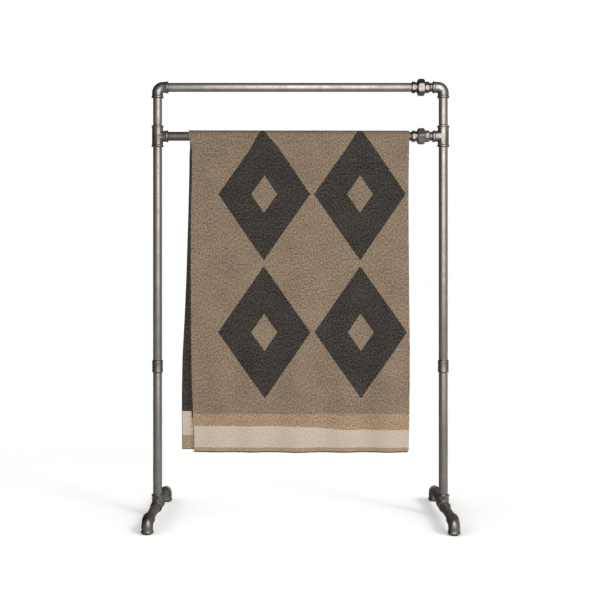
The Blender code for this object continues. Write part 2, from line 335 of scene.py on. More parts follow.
def pipe(node, start, end, material=PIPE_IRON):
    """A length of pipe between two mouths, screwed into both."""
    start, end = np.asarray(start, float), np.asarray(end, float)
    way = (end - start) / np.linalg.norm(end - start)
    start = start - SCREWED_IN * way
    length = np.linalg.norm(end - start) + SCREWED_IN
    cut = min(SCREWED_IN + THREAD_SHOWS, length / 2 - THREAD_PITCH / 4)
    first = threaded_end(cut)
    last = [(length - distance, np.roll(radius[::-1], 1)) for distance, radius in first[::-1]]
    stations = [(0.0, 0.0)] + first + last + [(length, 0.0)]
    return dress(straight(node + "_drawn", start, way, stations, material), node)


print("thread pitch:", round(1000 * THREAD_PITCH, 2), "mm")

# %% [markdown]
# ## Elbows
# A cast elbow has a raised band round each mouth and a socket inside it. One table holds the mouth's
# profile, from the floor of the socket round the lip and the band to the body, and the tees below use it
# too. The inner corner of a real elbow is nearly sharp, so the centreline bends at little more than the
# body's radius.

# %% Elbows
# Distance in from the mouth, and radius
MOUTH = (
    (SOCKET_DEPTH, 0.0),
    (SOCKET_DEPTH, BORE_RADIUS),
    (0.0040, BORE_RADIUS),
    (0.0004, BORE_RADIUS + 0.0022),
    (0.0, BORE_RADIUS + 0.0026),
    (0.0, BAND_RADIUS - 0.0010),
    (0.0004, BAND_RADIUS - 0.0003),
    (0.0014, BAND_RADIUS),
    (0.0034, BAND_RADIUS),
    (0.0046, BAND_RADIUS - 0.0005),
    (0.0054, BODY_RADIUS + 0.0004),
    (0.0068, BODY_RADIUS),
)
ELBOW_STEPS = 18


def elbow(node, centre, first_way, second_way):
    """Two mouths joined by a quarter bend, where
    centre = corner - bend radius * (cos(turn) * second way + sin(turn) * first way)."""
    depth, radius = np.array(MOUTH).T
    turn = np.linspace(0.0, np.pi / 2, ELBOW_STEPS)[:, None]
    corner = centre + BEND_RADIUS * (first_way + second_way)
    inward = np.cos(turn) * second_way + np.sin(turn) * first_way
    centres = np.concatenate((
        centre + (REACH - depth)[:, None] * first_way,
        corner - BEND_RADIUS * inward,
        centre + (REACH - depth[::-1])[:, None] * second_way))
    across = np.concatenate((
        np.broadcast_to(second_way, (len(depth), 3)), inward, np.broadcast_to(first_way, (len(depth), 3))))
    up = np.broadcast_to(np.cross(first_way, second_way), across.shape)
    radii = np.concatenate((radius, np.full(ELBOW_STEPS, BODY_RADIUS), radius[::-1]))
    return dress(carried(node + "_casting", centres, across, up, radii, CAST_IRON), node)


print("elbow: two mouths of", len(MOUTH), "rings and a bend of", ELBOW_STEPS)

# %% [markdown]
# ## Tees
# A tee's branch is as thick as its run, so they meet in two flat ellipses. That seam could be worked out by
# hand, but a Boolean union of two closed shapes finds it. The branch is a hair thinner than the run,
# because surfaces that touch without crossing make a Boolean unsure.

# %% Tees
BRANCH_SLACK = 0.00012
BRANCH_RADIUS = BODY_RADIUS - BRANCH_SLACK


def both_ends(mouth, half_length):
    """The stations of a straight fitting with the same mouth at both ends."""
    first = [(depth, radius) for depth, radius in mouth]
    return first + [(2 * half_length - depth, radius) for depth, radius in mouth[::-1]]


def tee(node, centre, run_way, branch_way):
    """A straight run, and a branch fused into its middle."""
    run = straight(node + "_casting", centre - REACH * run_way, run_way, both_ends(MOUTH, REACH), CAST_IRON)
    leg = [(0.0, 0.0), (0.0, BRANCH_RADIUS), (REACH - MOUTH[-1][0], BRANCH_RADIUS)]
    leg += [(REACH - depth, radius) for depth, radius in MOUTH[-2::-1]]
    branch = straight(node + "_branch", centre, branch_way, leg, CAST_IRON)
    fuse = run.modifiers.new("branch", "BOOLEAN")
    fuse.operation = "UNION"
    fuse.object = branch
    evaluated = run.evaluated_get(bpy.context.evaluated_depsgraph_get())
    whole = bpy.data.meshes.new_from_object(evaluated)
    run.modifiers.clear()
    run.data = whole
    whole.set_sharp_from_angle(angle=np.radians(35.0))
    bpy.data.objects.remove(branch, do_unlink=True)
    return dress(run, node)


print("tee: its mouths are", 1000 * REACH, "mm from its centre")

# %% [markdown]
# ## Couplings
# Each post is two lengths of pipe, joined by a plain sleeve with rounded ends. It is the tee's run again,
# with another profile, so the same functions make it.

# %% Couplings
# Distance in from the end, and radius
SLEEVE = (
    (SOCKET_DEPTH, 0.0),
    (SOCKET_DEPTH, BORE_RADIUS),
    (0.0005, BORE_RADIUS),
    (0.0, BORE_RADIUS + 0.0004),
    (0.0, COUPLING_RADIUS - 0.0020),
    (0.0005, COUPLING_RADIUS - 0.0008),
    (0.0014, COUPLING_RADIUS),
    (0.0030, COUPLING_RADIUS + 0.0002),
    (0.0055, COUPLING_RADIUS),
    (0.0080, COUPLING_RADIUS - 0.0003),
)


def coupling(node, centre):
    """An upright sleeve about its centre."""
    half = COUPLING_LENGTH / 2
    start = centre - half * Z_AXIS
    return dress(straight(node + "_sleeve", start, Z_AXIS, both_ends(SLEEVE, half), CAST_IRON), node)


print("coupling:", 1000 * COUPLING_LENGTH, "mm long")

# %% [markdown]
# ## Unions
# A rail can't be turned to screw it in when both posts stand, so each is closed by a union: an eight-sided
# body on the pipe, an eight-sided tail on the nipple, and a big six-sided nut that draws them together. A
# bevelled prism would have corners all alike. Cast corners are soft, so the section is a soft polygon: its
# radius is the apothem divided by a p-norm of the cosines to its flats, and a higher p makes sharper
# corners. The ends are turned to a cone, which cuts the corners off.

# %% Union shapes
UNION_X = 0.3340
UNION_BODY_LENGTH = 0.0175
UNION_BODY_APOTHEM = 0.0170
UNION_NECK_RADIUS = 0.0144
UNION_FLARE_RADIUS = 0.0194
NUT_LENGTH = 0.0205
NUT_APOTHEM = 0.0231
TAIL_LENGTH = 0.0135
TAIL_APOTHEM = 0.0167
FLATS_LENGTH = 0.0100
CHAMFER_DEPTHS = (0.0004, 0.0010, 0.0018)
NUT_CHAMFER_DEPTHS = (0.0, 0.0004, 0.0010, 0.0018, 0.0026, 0.0036)
CONE_START, CONE_SLOPE = 0.93, 1.4
CAST_CORNERS, NUT_CORNERS = 90, 16

# Behind the body's flats, distance from its mouth and radius: the neck, and the flare that the nut pulls on
NECK_AND_FLARE = (
    (0.0108, UNION_NECK_RADIUS + 0.0006),
    (0.0116, UNION_NECK_RADIUS),
    (0.0144, UNION_NECK_RADIUS),
    (0.0160, UNION_FLARE_RADIUS - 0.0008),
    (0.0167, UNION_FLARE_RADIUS),
    (UNION_BODY_LENGTH, UNION_FLARE_RADIUS),
    (UNION_BODY_LENGTH, 0.0),
)


def soft_polygon(sides, apothem, turn, sharpness):
    """Radius at each angle: apothem / (sum of max(cos, 0) ^ sharpness) ^ (1 / sharpness), with the cosine of
    the angle to each flat. At no turn a flat faces forwards, and the turn is in degrees."""
    angle = np.arange(RING_SIDES) * 2 * np.pi / RING_SIDES - np.radians(turn)
    flats = np.pi / 2 + 2 * np.pi / sides * np.arange(sides)
    cosines = np.maximum(np.cos(angle[:, None] - flats[None, :]), 0.0)
    return apothem / (cosines ** sharpness).sum(axis=1) ** (1 / sharpness)


def chamfered(radius, apothem, depth):
    """The polygon cut by the end's cone: no point lies further out than start * apothem + slope * depth."""
    return np.minimum(radius, CONE_START * apothem + CONE_SLOPE * depth)


print("union nut:", round(2000 * NUT_APOTHEM, 1), "mm across its flats")

# %% [markdown]
# ## Pieces of a union
# A nut stops where it is tight, so its flats face where they happen to. Each piece therefore has its own
# turn. A flat that faces the softbox shines and the next one stays dark, and that is what makes a nut look
# like one.

# %% Pieces of a union
Rail = namedtuple("Rail", "name z body_turn nut_turn tail_turn pipe_iron nut_iron")


def union_body(rail, start):
    """A mouth for the pipe, eight flats, a neck and a flare, along +X from the start."""
    flats = soft_polygon(8, UNION_BODY_APOTHEM, rail.body_turn, CAST_CORNERS)
    body = [*MOUTH[:4], (0.0, UNION_BODY_APOTHEM - 0.0008)]
    depths = (*CHAMFER_DEPTHS, FLATS_LENGTH)
    body += [(depth, chamfered(flats, UNION_BODY_APOTHEM, depth)) for depth in depths]
    body += NECK_AND_FLARE
    node = rail.name + "_union_body"
    return dress(straight(node + "_casting", start, X_AXIS, body, UNION_IRON, 25.0), node)


def union_nut(rail, start):
    """Six flats with very soft corners, turned to a cone at both ends."""
    flats = soft_polygon(6, NUT_APOTHEM, rail.nut_turn, NUT_CORNERS)
    ends = [(depth, chamfered(flats, NUT_APOTHEM, depth)) for depth in NUT_CHAMFER_DEPTHS]
    nut = [(0.0, 0.0), *both_ends(ends, NUT_LENGTH / 2), (NUT_LENGTH, 0.0)]
    node = rail.name + "_union_nut"
    return dress(straight(node + "_casting", start, X_AXIS, nut, rail.nut_iron, 35.0), node)


def union_tail(rail, start):
    """Eight flats, and a socket for the nipple in the far end."""
    flats = soft_polygon(8, TAIL_APOTHEM, rail.tail_turn, CAST_CORNERS)
    ends = [(depth, chamfered(flats, TAIL_APOTHEM, depth)) for depth in CHAMFER_DEPTHS]
    tail = [(0.0, 0.0), (0.0, TAIL_APOTHEM - 0.0010), *both_ends(ends, TAIL_LENGTH / 2)]
    tail += [(TAIL_LENGTH, TAIL_APOTHEM - 0.0008)]
    tail += [(TAIL_LENGTH - depth, radius) for depth, radius in MOUTH[3:1:-1]]
    tail += [(TAIL_LENGTH - SCREWED_IN, BORE_RADIUS), (TAIL_LENGTH - SCREWED_IN, 0.0)]
    node = rail.name + "_union_tail"
    return dress(straight(node + "_casting", start, X_AXIS, tail, rail.nut_iron, 25.0), node)


def closed_rail(rail):
    """One rail from post to post: the pipe, the union's three pieces and the nipple."""
    axis = np.array((0.0, 0.0, rail.z))
    nut_x = UNION_X + UNION_BODY_LENGTH + GAP
    tail_x = nut_x + NUT_LENGTH + GAP
    nipple_x = tail_x + TAIL_LENGTH
    pipe(rail.name + "_pipe", axis + (REACH - POST_X) * X_AXIS, axis + UNION_X * X_AXIS, rail.pipe_iron)
    union_body(rail, axis + UNION_X * X_AXIS)
    union_nut(rail, axis + nut_x * X_AXIS)
    union_tail(rail, axis + tail_x * X_AXIS)
    # The nipple's darker iron is painted shade
    pipe(rail.name + "_nipple", axis + nipple_x * X_AXIS, axis + (POST_X - REACH) * X_AXIS, SHADE_DARKENED_PIPE)


print("union:", round(1000 * (UNION_BODY_LENGTH + NUT_LENGTH + TAIL_LENGTH), 1), "mm of iron along the rail")

# %% [markdown]
# ## Feet
# Each post stands on a tee that lies on its side, with a nipple and an elbow to the front and to the back.
# The elbows look down, and a rubber pad stands under each one. Everything here is made by the functions
# above. The right foot reaches 9 mm further than the left one, as on the real rack.

# %% Feet
def pad(node, floor):
    """A disc with a soft lower rim, as rows of height and radius."""
    top = PAD_HEIGHT - GAP
    stations = ((0.0, 0.0), (0.0, PAD_RADIUS - 0.0008), (0.0003, PAD_RADIUS - 0.0002), (0.0009, PAD_RADIUS),
                (top, PAD_RADIUS), (top, 0.0))
    return dress(straight(node + "_disc", floor, Z_AXIS, stations, RUBBER), node)


def foot(side, x):
    """The tee, and on its front and back a nipple, an elbow and a pad."""
    middle = np.array((x, 0.0, FOOT_Z))
    tee(side + "_foot_tee", middle, Y_AXIS, Z_AXIS)
    for end, way in (("front", -Y_AXIS), ("back", Y_AXIS)):
        corner = middle + FOOT_REACH[side] * way
        pipe(f"{side}_foot_nipple_{end}", middle + REACH * way, corner - REACH * way)
        elbow(f"{side}_foot_elbow_{end}", corner, -way, -Z_AXIS)
        pad(f"{side}_foot_pad_{end}", corner - FOOT_Z * Z_AXIS)


print("the feet reach", FOOT_REACH, "m from their posts")

# %% [markdown]
# ## Posts and rails
# With every kind of piece at hand, the rack is put together as it would be in a workshop: each post from
# the floor up, and then the two rails between them. The lower rail is darker: that is painted shade.

# %% Posts and rails
def post(side, x):
    """From the foot up: pipe, coupling, pipe, the rail's tee, pipe and the top elbow."""
    inwards = -np.sign(x) * X_AXIS

    def place(z):
        return np.array((x, 0.0, z))

    half = COUPLING_LENGTH / 2
    pipe(side + "_post_lower", place(FOOT_Z + REACH), place(COUPLING_Z - half))
    coupling(side + "_coupling", place(COUPLING_Z))
    pipe(side + "_post_upper", place(COUPLING_Z + half), place(RAIL_Z - REACH))
    tee(side + "_rail_tee", place(RAIL_Z), Z_AXIS, inwards)
    pipe(side + "_post_top", place(RAIL_Z + REACH), place(TOP_Z - REACH))
    elbow(side + "_elbow", place(TOP_Z), -Z_AXIS, inwards)


for side, x in (("left", -POST_X), ("right", POST_X)):
    post(side, x)
    foot(side, x)
for rail in (
        Rail("top", TOP_Z, body_turn=8.0, nut_turn=11.0, tail_turn=13.0,
             pipe_iron=PIPE_IRON, nut_iron=UNION_IRON),
        # The lower rail's pipe and its union's nut and tail are darker: painted shade
        Rail("rail", RAIL_Z, body_turn=8.0, nut_turn=28.4, tail_turn=-4.0,
             pipe_iron=SHADE_DARKENED_PIPE, nut_iron=SHADE_DARKENED_IRON)):
    closed_rail(rail)
print("rack pieces:", sum("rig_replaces" in piece for piece in bpy.data.objects))

# %% [markdown]
# ## The cloth's shape
# The blanket is one cloth of about 1.31 by 1.93 m. It is folded in half along its length, with the turn on
# the right and the two open edges on the left, and hung over the rail. So its section is a long flat
# hairpin, and this section is carried up the front, over the rail and down the back. It could be dropped by
# a cloth simulation, but its gentle folds are few and known, so they are placed one by one: a soft ridge for
# each, which forms at some drop below the rail and stands out most at the hem.

# %% Tables of the cloth
CLOTH_THICKNESS = 0.0013
RAIL_CLEARANCE = 0.0005
LAYER_GAP = 0.0004
INNER_RADIUS = PIPE_RADIUS + RAIL_CLEARANCE + CLOTH_THICKNESS / 2
FLAT_WIDTH = 1.31
FLAT_LENGTH = 1.93

# How far the two layers part: everywhere below the rail, at the turn, and at the open side on the rail
PANEL_SLACK = 0.0014
TURN_SLACK = 0.0022
TURN_WIDTH = 0.030
OPEN_SLACK = 0.0010
SLACK_DROP = 0.120

# How far the outer and inner layer hang below the rail's centre, and how much lower they hang at the turn
FRONT_HANG = (0.9331, 0.9459, 0.0)
BACK_HANG = (0.9403, 0.9393, 0.0055)

# Columns: drop below the rail's centre, and x of the outer layer's edge, of the inner layer's and of the turn
DROP, OUTER, INNER, TURN = range(4)
FRONT_SIDES = np.array((
    (0.000, -0.3335, -0.3300, 0.3245),
    (0.035, -0.3240, -0.3283, 0.3238),
    (0.075, -0.3232, -0.3277, 0.3230),
    (0.190, -0.3250, -0.3295, 0.3220),
    (0.280, -0.3264, -0.3309, 0.3225),
    (0.500, -0.3266, -0.3311, 0.3245),
    (0.640, -0.3258, -0.3303, 0.3261),
    (0.730, -0.3243, -0.3288, 0.3258),
    (0.830, -0.3207, -0.3250, 0.3249),
    (0.900, -0.3166, -0.3196, 0.3238),
    (0.950, -0.3166, -0.3182, 0.3222),
))
BACK_SIDES = np.array((
    (0.000, -0.3335, -0.3290, 0.3245),
    (0.035, -0.3332, -0.3330, 0.3235),
    (0.110, -0.3336, -0.3350, 0.3225),
    (0.190, -0.3345, -0.3368, 0.3215),
    (0.310, -0.3380, -0.3402, 0.3165),
    (0.430, -0.3418, -0.3440, 0.3115),
    (0.550, -0.3468, -0.3490, 0.3065),
    (0.670, -0.3530, -0.3550, 0.3020),
    (0.730, -0.3542, -0.3562, 0.2997),
    (0.950, -0.3540, -0.3560, 0.2925),
))

# Columns: where each ridge is, how far it stands out at the hem, its half width, the drop at which it starts
FRONT_FOLDS = (
    (-0.243, 0.0060, 0.040, 0.30),
    (-0.145, 0.0100, 0.036, 0.18),
    (-0.010, 0.0160, 0.052, 0.05),
    (0.128, 0.0130, 0.042, 0.12),
    (0.262, 0.0135, 0.046, 0.08),
)
BACK_FOLDS = (
    (-0.270, 0.0110, 0.045, 0.10),
    (-0.140, 0.0150, 0.050, 0.06),
    (0.005, 0.0120, 0.042, 0.16),
    (0.118, 0.0150, 0.048, 0.08),
    (0.238, 0.0100, 0.040, 0.20),
)
print("flat cloth:", FLAT_WIDTH, "by", FLAT_LENGTH, "m, folds:", len(FRONT_FOLDS) + len(BACK_FOLDS))

# %% [markdown]
# ## The cloth's surface
# The surface is a grid. Its columns run round the hairpin, from the open edge of the outer layer through
# the turn to that of the inner layer, and its rows run up the front, over the rail and down the back. The
# tables give a few rows, and smooth curves between them give the rest. So each point has a place on the
# flat cloth too, which the weave's pattern needs.

# %% Surface of the cloth
LAYER_COLUMNS = 100
TURN_STEPS = 10
PANEL_ROWS = 84
OVER_ROWS = 20


def soft_step(share):
    """0 below 0, 1 above 1, and a smooth rise between: 3 share squared less 2 share cubed."""
    share = np.clip(share, 0.0, 1.0)
    return share * share * (3.0 - 2.0 * share)


def read_smoothly(table, column, drop):
    """A table's column at each drop, on a cubic through its rows whose slopes are the mean of both sides'."""
    at, value = table[:, DROP], table[:, column]
    slope = np.gradient(value, at)
    row = np.clip(np.searchsorted(at, drop, side="right") - 1, 0, len(at) - 2)
    span = at[row + 1] - at[row]
    t = np.clip((drop - at[row]) / span, 0.0, 1.0)
    start = (1 + 2 * t) * (1 - t) ** 2 * value[row] + t * (1 - t) ** 2 * span * slope[row]
    return start + t * t * (3 - 2 * t) * value[row + 1] - t * t * (1 - t) * span * slope[row + 1]


def stand_out(folds, x, drop):
    """Distance out of the plumb line: for each fold a ridge exp(-((x - across) / half width)^2), less its
    mean over the cloth's width, times how far it has formed at this drop."""
    width = FRONT_SIDES[0, TURN] - FRONT_SIDES[0, OUTER]
    total = np.zeros_like(x)
    for across, stands, half_width, starts in folds:
        ridge = np.exp(-(((x - across) / half_width) ** 2))
        formed = soft_step((drop - starts) / (FRONT_HANG[1] - starts))
        total += stands * formed * (ridge - half_width * np.sqrt(np.pi) / width)
    return total


def cloth_surface():
    """The cloth's middle surface as rows and columns of points, with the place of each on the flat cloth.

    On a panel, a point hangs at its drop, as far from the rail's axis as its layer is. Over the rail that
    distance turns about the axis: y = -cos(lift) * distance and z = axis + sin(lift) * distance - drop.
    At the turn, the section between the layers is half a circle."""
    flat = np.linspace(0.0, 1.0, LAYER_COLUMNS + 1)
    turning = np.linspace(0.0, np.pi, TURN_STEPS + 1)[1:-1]
    reach = np.concatenate((flat, np.ones_like(turning), flat[::-1]))
    angle = np.concatenate((np.zeros_like(flat), turning, np.full_like(flat, np.pi)))
    inner_share = (1.0 - np.cos(angle)) / 2.0

    hung = np.linspace(1.0, 0.0, PANEL_ROWS + 1)
    over = np.linspace(0.0, np.pi, OVER_ROWS + 1)
    share = np.concatenate((hung, np.zeros(OVER_ROWS - 1), hung[::-1]))[:, None]
    lift = np.concatenate((np.zeros_like(hung), over[1:-1], np.full_like(hung, np.pi)))[:, None]
    front = lift < np.pi / 2

    def hang(outer, inner, lean):
        return (outer + (inner - outer) * inner_share + lean * reach)[None, :]

    drop = share * np.where(front, hang(*FRONT_HANG), hang(*BACK_HANG))
    outer, inner, turn = (
        np.where(front, read_smoothly(FRONT_SIDES, column, drop), read_smoothly(BACK_SIDES, column, drop))
        for column in (OUTER, INNER, TURN))
    slack = soft_step(drop / SLACK_DROP)
    to_turn = (1.0 - reach) * (turn - outer) / TURN_WIDTH
    apart = CLOTH_THICKNESS + LAYER_GAP + OPEN_SLACK * (1.0 - reach) * (1.0 - slack)
    apart = apart + slack * (PANEL_SLACK + TURN_SLACK * np.exp(-(to_turn**2)))

    open_edge = outer + (inner - outer) * inner_share
    x = open_edge + (turn - apart / 2.0 - open_edge) * reach + apart / 2.0 * np.sin(angle)
    fold = np.where(front, stand_out(FRONT_FOLDS, x, drop), stand_out(BACK_FOLDS, x, drop))
    distance = INNER_RADIUS + apart * (1.0 - inner_share) + fold
    y = -np.cos(lift) * distance
    z = RAIL_Z + np.sin(lift) * distance - drop
    surface = np.stack((x, y, z), axis=-1)

    section = np.concatenate((flat / 2, 0.5 + 0 * turning, 1.0 - flat[::-1] / 2))
    across_cloth = np.broadcast_to(section * FLAT_WIDTH, x.shape)
    along = np.concatenate((np.zeros_like(x[:1]), np.hypot(np.diff(y, axis=0), np.diff(z, axis=0)).cumsum(0)))
    along_cloth = along / along[-1:] * FLAT_LENGTH
    return surface, across_cloth, along_cloth


half_way = read_smoothly(FRONT_SIDES, OUTER, np.array([FRONT_HANG[0] / 2]))
print("half way down, the front's left edge is at x", half_way.round(4))

# %% [markdown]
# ## The weave
# It is a double cloth of milled wool: two weaves that change places, so the reverse shows the face's
# colours swapped. Its yarns are melange, dyed fibres of two shades spun together. That gives the eye a fine
# speckle and no gloss, only the soft pale rim of the nap. Real fibres are far finer than a pixel of 3 mm,
# so the speckle is drawn 3 to 5 mm wide, and the threads 1.4 mm. The field holds large plain lozenges, a
# common blanket figure, charcoal on taupe in the front half and taupe on charcoal in the back half. The
# ends have plain bands: tan and cream in front, cream and tan at the back. The inner layer hangs 13 mm
# lower in front, and its reverse shows there as a thin sandy strip. A painted picture could carry the
# pattern, but a few nodes keep its edges sharp at any distance. They read the UV map, which holds metres on
# the flat cloth, so the pattern follows every fold.

# %% Sizes and colours of the weave
SHADES = {  # dark and light fibre of each melange yarn
    "taupe": ("#6c5b4b", "#a7937c"),
    "charcoal": ("#151312", "#534e49"),
    "tan": ("#896f57", "#c5aa89"),
    "cream": ("#c0b29f", "#dacbb7"),
    "sand": ("#988067", "#c5af94"),
    # the dark lines at the cloth's edges, painted shade
    "edge": ("#3d342c", "#645848"),
}
REVERSE = {"taupe": "charcoal", "charcoal": "taupe", "tan": "sand", "cream": "sand", "edge": "edge"}
# Widths of the painted shade lines at the selvedge and at the ends
SELVEDGE_SHADE_LINE = 0.0016
END_SHADE_LINE = 0.0036
SPECKLE_MM = (3.4, 5.4)  # across and along the cloth
THREAD_MM = 1.4
BORDER = 0.075
LOZENGE_WIDTH = 0.290
LOZENGE_LENGTH = 0.4125
LOZENGE_START = 0.140
LOZENGE_SIZE = 0.480
HEART_SIZE = 0.135
FIELD_COLUMNS = 4
FIELD_ROWS = 4
COLOUR_STEP = 0.0018
FELT_PER_METRE = 700.0
NAP_RELIEF = 0.0006

# How far the front's bands reach from their end: the tan, the cream at the open side and at the turn, the hem
TAN_BAND = 0.1030
CREAM_BAND = (0.0660, 0.0550)
CREAM_SINKS = (0.28, 0.50)  # where the cream's edge sinks, across the cloth
HEM_BAND = 0.0022
BACK_CREAM_BAND = 0.114
BACK_TAN_BAND = 0.042
print("lozenges:", 1000 * LOZENGE_WIDTH, "by", 1000 * LOZENGE_LENGTH, "mm apart")

# %% [markdown]
# ## Wool materials
# Face and reverse share one function, so that their patterns meet at every edge. Each part of the pattern
# is a test that is 0 or 1 at a place on the flat cloth, and a colour is laid over the others where it is 1.
# The sheen is the nap's pale rim, and the relief is the twill's threads under felted wool.

# %% Wool materials
def wool(name, reverse):
    """Melange wool in the blanket's pattern; the reverse has each colour's partner in its place."""
    material, tree, output = new_material(name)
    flat = add(tree, "UVMap", uv_map="flat cloth").outputs["UV"]

    def yarn(colour, speckle):
        dark, light = SHADES[REVERSE[colour] if reverse else colour]
        return add(tree, "Mix", {"Factor": speckle, "A": linear(dark), "B": linear(light)},
                   data_type="RGBA").outputs["Result"]

    def over(base, top, share):
        return add(tree, "Mix", {"Factor": share, "A": base, "B": top}, data_type="RGBA").outputs["Result"]

    def number(operation, *values):
        return add(tree, "Math", dict(enumerate(values)), operation=operation).outputs["Value"]

    def vector(operation, *values):
        return add(tree, "VectorMath", dict(enumerate(values)), operation=operation).outputs["Vector"]

    # Speckle of the two fibres, and a slow drift of the dye
    stretched = vector("MULTIPLY", flat, (1000 / SPECKLE_MM[0], 1000 / SPECKLE_MM[1], 1.0))
    fibre = add(tree, "TexNoise", {"Vector": stretched, "Scale": 1.0, "Detail": 0.0})
    drift = add(tree, "TexNoise", {"Vector": flat, "Scale": 14.0, "Detail": 2.0})
    both = number("MULTIPLY_ADD", drift.outputs["Fac"], 0.25, fibre.outputs["Fac"])
    speckle = add(tree, "MapRange", {"Value": both, "From Min": 0.36, "From Max": 0.89})
    speckle = speckle.outputs["Result"]

    # Each colour change steps by a thread or so
    ragged = add(tree, "TexNoise", {"Vector": flat, "Scale": 420.0, "Detail": 0.0})
    nudge = add(tree, "MapRange", {"Value": ragged.outputs["Fac"], "To Min": -COLOUR_STEP,
                                   "To Max": COLOUR_STEP})
    place = vector("ADD", flat, nudge.outputs["Result"])
    split = add(tree, "SeparateXYZ", {"Vector": place})
    u, v = split.outputs["X"], split.outputs["Y"]

    # Lozenges: in each cell of the field, |x| + |y| from its centre is less than the lozenge's size, and more
    # than the size of the small lozenge in its heart
    cell = vector("SUBTRACT", place, (BORDER, LOZENGE_START, 0.0))
    cell = vector("DIVIDE", cell, (LOZENGE_WIDTH, LOZENGE_LENGTH, 1.0))
    inside = vector("SUBTRACT", cell, (FIELD_COLUMNS / 2, FIELD_ROWS / 2, 0.0))
    inside = add(tree, "SeparateXYZ", {"Vector": vector("ABSOLUTE", inside)})
    in_columns = number("LESS_THAN", inside.outputs["X"], FIELD_COLUMNS / 2)
    in_rows = number("LESS_THAN", inside.outputs["Y"], FIELD_ROWS / 2)
    in_field = number("MULTIPLY", in_columns, in_rows)
    part = vector("SUBTRACT", vector("FRACTION", cell), (0.5, 0.5, 0.0))
    part = vector("ABSOLUTE", part)
    far = add(tree, "VectorMath", {0: part, 1: (1.0, 1.0, 0.0)}, operation="DOT_PRODUCT").outputs["Value"]
    lozenge = number("LESS_THAN", far, LOZENGE_SIZE)
    heart = number("GREATER_THAN", far, HEART_SIZE)
    figure = number("MULTIPLY", number("MULTIPLY", lozenge, heart), in_field)
    back_half = number("GREATER_THAN", v, FLAT_LENGTH / 2)
    dark = number("ABSOLUTE", number("SUBTRACT", figure, back_half))
    colour = over(yarn("taupe", speckle), yarn("charcoal", speckle), dark)

    # The front's bands, with the cream's upper edge lower towards the turn, then the back's
    cream_edge = add(tree, "MapRange", {
        "Value": u, "From Min": CREAM_SINKS[0], "From Max": CREAM_SINKS[1], "To Min": CREAM_BAND[0],
        "To Max": CREAM_BAND[1]}, interpolation_type="SMOOTHSTEP")
    for edge, shade in ((TAN_BAND, "tan"), (cream_edge.outputs["Result"], "cream"), (HEM_BAND, "tan")):
        colour = over(colour, yarn(shade, speckle), number("LESS_THAN", v, edge))
    for edge, shade in ((BACK_CREAM_BAND, "cream"), (BACK_TAN_BAND, "tan")):
        colour = over(colour, yarn(shade, speckle), number("GREATER_THAN", v, FLAT_LENGTH - edge))

    # Dark lines a thread or two wide are painted shade, the shadow on the cut edges and in the gap
    # between the layers: on the face at the inner layer's selvedge and the back end, on the reverse at
    # that selvedge and both ends
    middle = FLAT_LENGTH / 2 if reverse else 0.0
    beside = vector("ABSOLUTE", vector("SUBTRACT", flat, (0.0, middle, 0.0)))
    beside = add(tree, "SeparateXYZ", {"Vector": beside})
    for distance, last, width, share in (
            (beside.outputs["X"], FLAT_WIDTH, SELVEDGE_SHADE_LINE, 0.7 if reverse else 1.0),
            (beside.outputs["Y"], FLAT_LENGTH - middle, END_SHADE_LINE if reverse else SELVEDGE_SHADE_LINE, 1.0)):
        line = add(tree, "MapRange", {"Value": distance, "From Min": last - width - 0.0010,
                                      "From Max": last - width + 0.0010, "To Max": share})
        colour = over(colour, yarn("edge", speckle), line.outputs["Result"])

    # Relief: the threads of the twill under a felted nap
    twill = add(tree, "TexWave", {"Vector": flat, "Scale": 1000 / THREAD_MM / 6.28, "Distortion": 1.2,
                                  "Detail": 1.0, "Detail Scale": 2.0}, bands_direction="DIAGONAL")
    felt = add(tree, "TexNoise", {"Vector": flat, "Scale": FELT_PER_METRE, "Detail": 3.0, "Roughness": 0.7})
    height = number("MULTIPLY_ADD", twill.outputs["Fac"], 0.35, felt.outputs["Fac"])
    bump = add(tree, "Bump", {"Height": height, "Distance": NAP_RELIEF, "Strength": 0.6})
    shader = add(tree, "BsdfPrincipled", {
        "Base Color": colour, "Roughness": 0.92, "IOR": 1.5, "Specular IOR Level": 0.25, "Sheen Weight": 0.25,
        "Sheen Roughness": 0.5, "Sheen Tint": linear("#e9dfd2"), "Normal": bump.outputs["Normal"]})
    tree.links.new(shader.outputs["BSDF"], output.inputs["Surface"])
    return material


WOOL_FACE = wool("milled melange wool, face", False)
WOOL_REVERSE = wool("milled melange wool, reverse", True)
print("wools:", WOOL_FACE.name, "and", WOOL_REVERSE.name)

# %% [markdown]
# ## The blanket
# The middle surface becomes a mesh with its UV map. Milled wool is about 1.3 mm thick, and a Solidify
# modifier gives it that, half to each side, with the second material on the reverse. The modifier is made
# real at once.

# %% The blanket
surface, across_cloth, along_cloth = cloth_surface()
rows, columns = surface.shape[:2]
index = np.arange(rows * columns).reshape(rows, columns)
quads = np.stack((index[:-1, :-1], index[:-1, 1:], index[1:, 1:], index[1:, :-1]), axis=-1).reshape(-1, 4)
mesh = bpy.data.meshes.new("folded_blanket")
mesh.from_pydata(surface.reshape(-1, 3).tolist(), [], quads.tolist())
uv = mesh.uv_layers.new(name="flat cloth")
flat_place = np.stack((across_cloth, along_cloth), axis=-1).reshape(-1, 2)[quads.ravel()]
uv.data.foreach_set("uv", flat_place.astype(np.float32).ravel())
mesh.shade_smooth()
mesh.materials.append(WOOL_FACE)
mesh.materials.append(WOOL_REVERSE)
blanket = bpy.data.objects.new("folded_blanket", mesh)
bpy.context.scene.collection.objects.link(blanket)
thickness = blanket.modifiers.new("thickness", "SOLIDIFY")
thickness.thickness = CLOTH_THICKNESS
thickness.offset = 0.0
thickness.use_even_offset = True
thickness.material_offset = 1
whole = bpy.data.meshes.new_from_object(blanket.evaluated_get(bpy.context.evaluated_depsgraph_get()))
blanket.modifiers.clear()
blanket.data = whole
whole.set_sharp_from_angle(angle=np.radians(50.0))
dress(blanket, "blanket")
print("blanket:", rows, "by", columns, "points")

